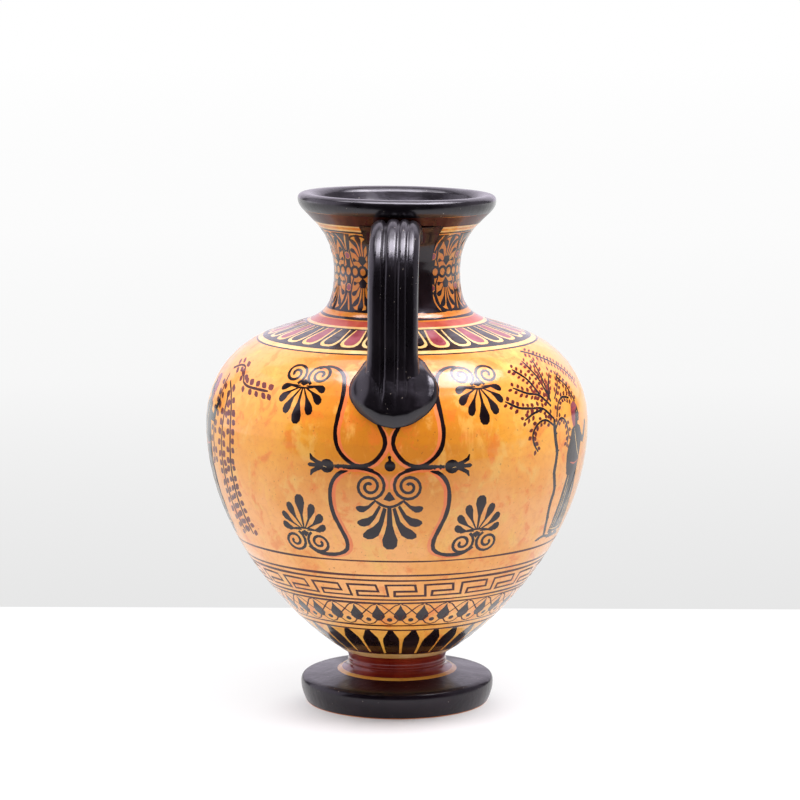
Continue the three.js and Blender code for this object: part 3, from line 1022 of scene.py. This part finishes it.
def cavity_profile():
    """The inner wall from the neck to the floor: the outer wall moved inwards by its thickness."""
    neck_run = WALL.run_at_height(NECK[1])
    runs = np.linspace(neck_run, 0, 22)
    radii = np.interp(runs, WALL.runs, WALL.points[:, 0])
    heights = np.interp(runs, WALL.runs, WALL.points[:, 1])
    out = np.interp(runs, WALL.runs, WALL.normals[:, 0])
    up = np.interp(runs, WALL.runs, WALL.normals[:, 1])
    inner = np.stack([radii - WALL_THICKNESS * out, heights - WALL_THICKNESS * up], 1)
    inner = inner[(inner[:, 1] > CAVITY_FLOOR + 1.5) & (inner[:, 0] > 6)]
    inner[0] = THROAT
    floor = bezier(inner[-1], inner[-1] - (2, 1.2), (8, CAVITY_FLOOR), (0, CAVITY_FLOOR), 4)
    return joined(inner, floor)


def build_plain_parts(faces):
    """The foot, the lip and the inside, each with its own part of the texture's strip."""
    foot = foot_profile()
    middles = (foot[1:] + foot[:-1]) / 2
    turned(faces, foot, [foot_paint(*m) for m in middles], -150, (0, 0.3))
    lip = lip_profile()
    turned(faces, lip, [SATIN] * (len(lip) - 1), -150, (0.32, 0.6))
    cavity = cavity_profile()
    turned(faces, cavity, [CLAY] * (len(cavity) - 1), -150, (0.62, 1))


# ---- The finished mesh ----
def welded(faces):
    """Merges points that agree to a thousandth of a millimetre, and turns every face outwards."""
    points = np.concatenate(faces.points)
    points[:, 2] -= LIP_TILT * smooth_step(LEANS_FROM, LEANS_FULLY, points[:, 2]) * points[:, 0] / LIP[0]
    normals = np.concatenate(faces.normals)
    keys = np.round(points, 3)
    _, first, index = np.unique(keys, axis=0, return_index=True, return_inverse=True)
    index = index.reshape(-1)
    points = points[first]
    summed = np.zeros_like(points)
    np.add.at(summed, index, normals)
    summed /= np.maximum(np.linalg.norm(summed, axis=1), 1e-9)[:, None]
    kept, paints, uvs = [], [], []
    for face, paint, corners in zip(faces.faces, faces.paints, faces.uvs):
        ring = [int(index[i]) for i in face]
        if len(set(ring)) < len(ring):
            pairs = [(v, c) for k, (v, c) in enumerate(zip(ring, corners)) if ring[k - 1] != v]
            ring, corners = [v for v, _ in pairs], [c for _, c in pairs]
            if len(ring) < 3 or len(set(ring)) < len(ring):
                continue
        a, b, c = (points[ring[k]] for k in (0, 1, 2))
        if np.dot(np.cross(b - a, c - a), summed[ring[0]] + summed[ring[1]] + summed[ring[2]]) < 0:
            ring, corners = ring[::-1], corners[::-1]
        kept.append(ring)
        paints.append(paint)
        uvs.append(corners)
    return points * MM, summed, kept, paints, uvs


def make_amphora():
    """The whole vessel as one mesh."""
    collected = Faces()
    zones = [paint_rays(), paint_chain(), paint_scene(), paint_collar(), paint_frieze()]
    for zone in zones:
        zone.build(collected)
    build_plain_parts(collected)
    build_strap(collected, 1, FRONT_STRAP)
    build_strap(collected, -1, BACK_STRAP)
    points, normals, faces, paints, uvs = welded(collected)
    mesh = bpy.data.meshes.new("amphora")
    mesh.from_pydata(points.tolist(), [], faces)
    mesh.polygons.foreach_set("material_index", paints)
    mesh.polygons.foreach_set("use_smooth", [True] * len(faces))
    layer = mesh.uv_layers.new(name="OFBake")
    flat = [value for corners in uvs for corner in corners for value in corner]
    layer.data.foreach_set("uv", flat)
    mesh.update()
    mesh.normals_split_custom_set_from_vertices(normals.tolist())
    piece = bpy.data.objects.new("painted_amphora", mesh)
    bpy.context.scene.collection.objects.link(piece)
    return piece


# ---- Materials ----
# A Mix node's colour sockets, which share their names with its number sockets.
MIX_FIRST, MIX_SECOND, MIX_RESULT = 6, 7, 2


def linear(red, green, blue):
    """A colour given from 0 to 255, as the renderer's linear values, opaque."""
    shares = [value / 255 for value in (red, green, blue)]
    return (*(((s + 0.055) / 1.055) ** 2.4 if s > 0.04 else s / 12.92 for s in shares), 1)


class Surface:
    """Builds one procedural material, node by node, around a Principled shader."""

    def __init__(self, name, **settings):
        self.material = bpy.data.materials.new(name)
        self.material.use_nodes = True
        self.tree = self.material.node_tree
        self.shader = self.tree.nodes["Principled BSDF"]
        for socket, value in settings.items():
            self.feed(self.shader.inputs[socket.replace("_", " ")], value)
        self.coordinates = self.node("TexCoord").outputs["Object"]

    def feed(self, socket, value):
        """Gives a socket a constant, or links it to another node's output."""
        if isinstance(value, bpy.types.NodeSocket):
            self.tree.links.new(value, socket)
        else:
            socket.default_value = value

    def node(self, kind, **inputs):
        """A new node with constants or other nodes' outputs for its inputs."""
        made = self.tree.nodes.new("ShaderNode" + kind)
        for socket, value in inputs.items():
            self.feed(made.inputs[socket.replace("_", " ")], value)
        return made

    def noise(self, scale, detail=3.0, roughness=0.55, stretch=(1, 1, 1), warp=0.0):
        """Cloudy noise from 0 to 1; scale is how many clouds there are to a metre."""
        place = self.node("Mapping", Scale=stretch, Vector=self.coordinates).outputs["Vector"]
        grain = {"Scale": scale, "Detail": detail, "Roughness": roughness, "Distortion": warp}
        return self.node("TexNoise", Vector=place, **grain).outputs["Fac"]

    def cracks(self, scale):
        """The distance to the nearest line of a net of fine cracks."""
        node = self.node("TexVoronoi", Scale=scale, Vector=self.coordinates)
        node.feature = "DISTANCE_TO_EDGE"
        return node.outputs["Distance"]

    def span(self, value, low, high, out_low=0.0, out_high=1.0, shape="SMOOTHSTEP"):
        """Carries a value from the range low to high over to the range out_low to out_high."""
        ends = {"From_Min": low, "From_Max": high, "To_Min": out_low, "To_Max": out_high}
        node = self.node("MapRange", Value=value, **ends)
        node.interpolation_type = shape
        return node.outputs["Result"]

    def calculate(self, operation, first, second=0.0):
        """A value worked out from one or two others; each is a number or another node's output."""
        node = self.node("Math")
        node.operation = operation
        self.feed(node.inputs[0], first)
        self.feed(node.inputs[1], second)
        return node.outputs[0]

    def part_of_place(self, axis):
        return self.node("SeparateXYZ", Vector=self.coordinates).outputs[axis]

    def mix(self, amount, first, second):
        """A colour between two; each is a colour or another node's output."""
        node = self.node("Mix", Factor=amount)
        node.data_type = "RGBA"
        self.feed(node.inputs[MIX_FIRST], first)
        self.feed(node.inputs[MIX_SECOND], second)
        return node.outputs[MIX_RESULT]

    def layered(self, colour, layers):
        """A colour under layers of others. Each layer is the value it follows, the range over which it
        changes, its strength at both ends of the range, and its colour."""
        for value, low, high, weak, strong, tint in layers:
            colour = self.mix(self.span(value, low, high, weak, strong), colour, linear(*tint))
        return colour

    def finish(self, colour, roughness):
        self.feed(self.shader.inputs["Base Color"], colour)
        self.feed(self.shader.inputs["Roughness"], roughness)

    def bump(self, height, distance):
        """Adds a layer of bumps to any that are there already."""
        node = self.node("Bump", Height=height, Distance=distance)
        normal = self.shader.inputs["Normal"]
        if normal.is_linked:
            self.feed(node.inputs["Normal"], normal.links[0].from_socket)
        self.feed(normal, node.outputs["Normal"])

    def hand_smoothed(self, depth):
        """The slight unevenness of a surface smoothed by hand, the same under every paint."""
        self.bump(self.noise(75, 2, 0.5, (1, 1, 0.6), 0.4), depth)

    def ramp(self, value, stops):
        """A grey that follows a value from 0 to 1 through stops of (value, shade)."""
        node = self.node("ValToRGB", Fac=value)
        elements = node.color_ramp.elements
        while len(elements) < len(stops):
            elements.new(0.5)
        for element, (at, shade) in zip(elements, stops):
            element.position = at
            element.color = (shade, shade, shade, 1)
        return node.outputs["Color"]

    def glow(self, colour=(1, 1, 1, 1)):
        return self.node("Emission", Color=colour, Strength=1.0).outputs["Emission"]

    def blend(self, amount, first, second):
        """A shader between two."""
        node = self.node("MixShader", Fac=amount)
        self.feed(node.inputs[1], first)
        self.feed(node.inputs[2], second)
        return node.outputs["Shader"]

    def show(self, shader):
        self.feed(self.tree.nodes["Material Output"].inputs["Surface"], shader)


def ground_paint():
    """Orange clay slip under varnish: cloudy, streaky, with fine crackle and specks. Painted shade
    makes it deeper in tone below the handles, and painted sheen changes it slightly with height."""
    paint = Surface("orange_slip", Coat_Weight=0.85, Coat_Roughness=0.13, Specular_IOR_Level=0.2)
    clouds = paint.noise(34, 3, 0.5, (1, 1, 0.8), 0.4)
    streaks = paint.noise(120, 4, 0.6, (1, 1, 0.4), 0.4)
    patches = paint.noise(120, 4, 0.65, (1, 1, 0.75), 0.6)
    pale = paint.noise(82, 4, 0.6, (1, 1, 0.7), 0.5)
    fine = paint.noise(420, 3, 0.6)
    specks = paint.noise(700, 1, 0.5)
    cracks = paint.cracks(210)
    height = paint.part_of_place("Z")
    from_handles = paint.calculate("ABSOLUTE", paint.part_of_place("X"))
    # Painted sheen: paler low down and towards the shoulder, where the table and the lamps reflect.
    whole = paint.layered(linear(252, 190, 82), [
        (height, 0.03, 0.056, 0, 1, (254, 180, 104)),
        (height, 0.106, 0.134, 0, 1, (250, 174, 56)),
        (height, 0.142, 0.166, 0, 1, (246, 164, 84)),
        (clouds, 0.42, 0.62, 0, 0.7, (243, 160, 60)),
    ])
    # Painted shade: deeper orange under the handles, in the middle of each side, where less light falls.
    painted_shade_under_handles = paint.layered(whole, [(from_handles, 0.012, 0.062, 0.82, 0, (212, 122, 16))])
    whole = paint.mix(paint.span(height, 0.096, 0.124), whole, painted_shade_under_handles)
    colour = paint.layered(whole, [
        (pale, 0.54, 0.66, 0, 0.5, (246, 196, 104)),
        (patches, 0.53, 0.66, 0, 0.6, (238, 120, 42)),
        (streaks, 0.56, 0.72, 0, 0.6, (253, 190, 92)),
        (fine, 0.45, 0.75, 0, 0.2, (206, 100, 38)),
        (cracks, 0.0, 0.02, 0.14, 0, (160, 78, 32)),
        (specks, 0.71, 0.78, 0, 0.45, (146, 70, 32)),
    ])
    paint.finish(colour, paint.span(streaks, 0.3, 0.75, 0.3, 0.46))
    paint.bump(fine, 0.00006)
    paint.hand_smoothed(0.00018)
    return paint.material


def glaze(name, dark, light, rough=(0.26, 0.42), wear=None, dust=None, grain=0.00007, lumps=0.00018,
          **settings):
    """A brushed opaque paint under varnish, from a dark to a light tone. wear is the colour of rubbed
    places and dust the colour of pale specks, where given; grain and lumps are depths of its bumps."""
    varnish = {"Coat_Weight": 0.8, "Coat_Roughness": 0.13, "Specular_IOR_Level": 0.2}
    paint = Surface(name, **{**varnish, "Specular_Tint": (0.86, 0.78, 1, 1), **settings})
    brushed = paint.noise(60, 4, 0.6, (1, 1, 0.6), 0.5)
    fine = paint.noise(480, 3, 0.6)
    layers = [(brushed, 0.4, 0.72, 0, 1, light)]
    if wear:
        layers.append((paint.noise(130, 5, 0.7, (1, 1, 1), 0.3), 0.66, 0.76, 0, 0.55, wear))
    layers.append((fine, 0.5, 0.8, 0, 0.25, light))
    if dust:
        layers.append((paint.noise(900, 1, 0.5), 0.76, 0.8, 0, 0.8, dust))
    paint.finish(paint.layered(linear(*dark), layers), paint.span(brushed, 0.3, 0.75, *rough))
    paint.bump(fine, grain)
    paint.hand_smoothed(lumps)
    return paint.material


def make_paints():
    """One material for each name in PAINTS, in the same order."""
    dusty = {"dust": (150, 140, 130), "grain": 0.00016}
    return [
        ground_paint(),
        glaze("black_gloss", (22, 12, 14), (36, 23, 26), (0.22, 0.36), wear=(52, 31, 25)),
        glaze("maroon_slip", (140, 52, 66), (174, 92, 104)),
        glaze("red_slip", (182, 66, 46), (206, 98, 68)),
        glaze("cream_slip", (232, 182, 108), (252, 218, 154)),
        glaze("brown_gloss", (60, 23, 16), (88, 40, 26), Coat_Weight=0.4),
        glaze("bare_clay", (196, 116, 66), (222, 150, 98), (0.6, 0.8), Coat_Weight=0.0),
        glaze("stem_red", (124, 28, 14), (154, 50, 28)),
        glaze("orange_wash", (238, 122, 66), (247, 150, 94)),
        glaze("leaf_brown", (92, 24, 18), (128, 46, 32)),
        glaze("satin_black", (11, 8, 11), (20, 15, 19), (0.24, 0.42), wear=(46, 29, 22), lumps=0.0006,
              Coat_Roughness=0.2, Specular_IOR_Level=0.3, **dusty),
        glaze("dull_black", (16, 8, 15), (28, 16, 25), (0.3, 0.5), wear=(52, 31, 26), lumps=0.0004,
              Coat_Weight=0.55, Coat_Roughness=0.14, **dusty),
    ]


amphora = make_amphora()
for material in make_paints():
    amphora.data.materials.append(material)
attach(amphora, "root")
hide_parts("amphora")


# ---- Floor, light and camera ----
# The photograph's table ends behind the vessel; the wall beyond is grey, and white higher up.
TABLE_HALF_WIDTH = 1.6
TABLE_END = 0.205
TABLE_FRONT = -0.42
FLOOR_REACH = 7.5
WALL_SHADES = [(0.0, 0.80), (0.04, 0.84), (0.12, 0.93), (0.3, 0.97), (1.0, 1.0)]
# How much the table's paper glows, at fractions of a distance from the middle of the vessel's shadow;
# its weak glow near the foot is a painted shadow.
TABLE_GLOW_REACH = 0.6
TABLE_GLOW = [(0.0, 0.1), (0.033, 0.2), (0.067, 0.38), (0.083, 0.48), (0.097, 0.64), (0.11, 0.76),
              (0.15, 0.83), (0.4, 0.92), (1.0, 1.0)]
SHADOW_MIDDLE = (0, -0.03, 0)
# The grey wall is only as wide as the photograph shows it: a wedge that widens with the distance.
WALL_WIDTH, WALL_SPREAD = 0.225, 0.14
# The lower floors lie just under the table, so that no two meet in one plane.
LAYER = 0.0002
DOME_RADIUS = 11


def flat_piece(name, low, high, height, material):
    """A rectangle facing up."""
    mesh = bpy.data.meshes.new(name)
    corners = [(low[0], low[1]), (high[0], low[1]), (high[0], high[1]), (low[0], high[1])]
    mesh.from_pydata([(x, y, height) for x, y in corners], [], [(0, 1, 2, 3)])
    mesh.materials.append(material)
    piece = bpy.data.objects.new(name, mesh)
    bpy.context.scene.collection.objects.link(piece)
    return piece


def floor_material(name, wall_width):
    """White paper that glows, so that it stays pale far from the lights and shadows on it are soft.
    Beyond the table's far edge it has the wall's shades, out to wall_width from the middle."""
    paper = Surface(name, Base_Color=(0.9, 0.9, 0.9, 1), Roughness=0.6)
    reach = paper.node("VectorMath")
    reach.operation = "DISTANCE"
    paper.feed(reach.inputs[0], paper.coordinates)
    paper.feed(reach.inputs[1], SHADOW_MIDDLE)
    # The weaker glow near the foot paints the vessel's soft contact shadow.
    near = paper.span(reach.outputs["Value"], 0, TABLE_GLOW_REACH, shape="LINEAR")
    table = paper.blend(paper.ramp(near, TABLE_GLOW), paper.shader.outputs["BSDF"], paper.glow())
    back = paper.part_of_place("Y")
    shade = paper.ramp(paper.span(back, TABLE_END, FLOOR_REACH, shape="LINEAR"), WALL_SHADES)
    aside = paper.calculate("ABSOLUTE", paper.part_of_place("X"))
    aside = paper.calculate("SUBTRACT", aside, paper.calculate("MULTIPLY", back, WALL_SPREAD))
    within = paper.span(aside, wall_width, wall_width + 0.05, 1, 0, "LINEAR")
    beyond = paper.span(back, TABLE_END - 0.002, TABLE_END + 0.002, shape="LINEAR")
    in_wall = paper.calculate("MULTIPLY", beyond, within)
    paper.show(paper.blend(in_wall, table, paper.glow(shade)))
    return paper.material


def make_stage():
    """A table, the floor level with it, and a white dome round them. The glaze shows the table and what
    lies behind it, but not the floor in front or the dome: the room behind a camera is darker."""
    far = FLOOR_REACH
    paper = floor_material("pale_paper", WALL_WIDTH)
    mirrored_wall = floor_material("mirrored_wall", far)
    flat_piece("table", (-TABLE_HALF_WIDTH, TABLE_FRONT), (TABLE_HALF_WIDTH, TABLE_END), 0, paper)
    back_floor = flat_piece("back_floor", (-far, TABLE_END), (far, far), -LAYER, mirrored_wall)
    back_floor.visible_camera = False
    floor = flat_piece("floor", (-far, -far), (far, far), -2 * LAYER, paper)
    floor.visible_glossy = False
    mesh = bpy.data.meshes.new("dome")
    shell = bmesh.new()
    bmesh.ops.create_icosphere(shell, subdivisions=4, radius=DOME_RADIUS)
    shell.to_mesh(mesh)
    shell.free()
    white = Surface("white_distance")
    white.show(white.glow())
    mesh.materials.append(white.material)
    dome = bpy.data.objects.new("dome", mesh)
    bpy.context.scene.collection.objects.link(dome)
    dome.visible_glossy = dome.visible_diffuse = dome.visible_shadow = False


LILAC, VIOLET = (0.97, 0.94, 1), (0.93, 0.86, 1)
WORLD_STRENGTH = 0.27
# Each light's name, place, the place it faces, width, height, radiance and colour.
SOFTBOXES = [
    ("overhead_softbox", (0.12, -0.25, 1.16), (0.12, -0.25, 0), 1.15, 0.48, 11.6, LILAC),
    ("rear_softbox", (0, 0.14, 1.16), (0, 0.14, 0), 1.0, 0.4, 2.6, LILAC),
    ("right_softbox", (0.6, 0.05, 1.17), (0.6, 0.05, 0), 0.5, 0.46, 9, LILAC),
    ("left_softbox", (-0.66, 0.05, 1.17), (-0.66, 0.05, 0), 0.24, 0.4, 7, LILAC),
    ("left_wall", (-1.3, 0.15, 0.55), (0, 0, 0.15), 1.6, 1.1, 1.2, VIOLET),
    ("right_wall", (1.3, 0.15, 0.55), (0, 0, 0.15), 1.6, 1.1, 0.4, VIOLET),
    ("back_wall", (0, 1.9, 1.2), (0, 0, 0.2), 3.6, 2.4, 1.1, VIOLET),
]


def softbox(name, place, aim, width, height, radiance, colour):
    """A rectangular light of the given brightness, which the camera itself doesn't see."""
    data = bpy.data.lights.new(name, "AREA")
    data.shape = "RECTANGLE"
    data.size, data.size_y = width, height
    data.energy = radiance * width * height * math.pi
    data.color = colour
    light = bpy.data.objects.new(name, data)
    light.location = place
    light.rotation_mode = "QUATERNION"
    light.rotation_quaternion = (Vector(aim) - Vector(place)).to_track_quat("-Z", "Y")
    light.visible_camera = False
    bpy.context.scene.collection.objects.link(light)


def make_light():
    world = bpy.data.worlds.new("studio")
    bpy.context.scene.world = world
    world.use_nodes = True
    background = world.node_tree.nodes["Background"]
    background.inputs["Color"].default_value = (1, 1, 1, 1)
    background.inputs["Strength"].default_value = WORLD_STRENGTH
    world.cycles_visibility.glossy = False
    for settings in SOFTBOXES:
        softbox(*settings)


# The photograph's viewing angle: slightly to the right of the front handle and a little above.
CAMERA_TURN, CAMERA_TILT = math.radians(0.9), math.radians(8.2523)
CAMERA_DISTANCE, CAMERA_ASIDE, CAMERA_HEIGHT = 1.48369, 0.0014, 0.35806
FOCAL_LENGTH, SENSOR_WIDTH = 144.04, 36


def make_camera():
    data = bpy.data.cameras.new("camera")
    data.lens = FOCAL_LENGTH
    data.sensor_width = SENSOR_WIDTH
    data.clip_end = 60
    camera = bpy.data.objects.new("camera", data)
    sin, cos = math.sin(CAMERA_TURN), math.cos(CAMERA_TURN)
    camera.location = (
        CAMERA_DISTANCE * sin + CAMERA_ASIDE * cos,
        -CAMERA_DISTANCE * cos + CAMERA_ASIDE * sin,
        CAMERA_HEIGHT,
    )
    camera.rotation_euler = (math.radians(90) - CAMERA_TILT, 0, CAMERA_TURN)
    bpy.context.scene.collection.objects.link(camera)
    bpy.context.scene.camera = camera


make_stage()
make_light()
make_camera()
bpy.context.scene.view_settings.view_transform = "Standard"
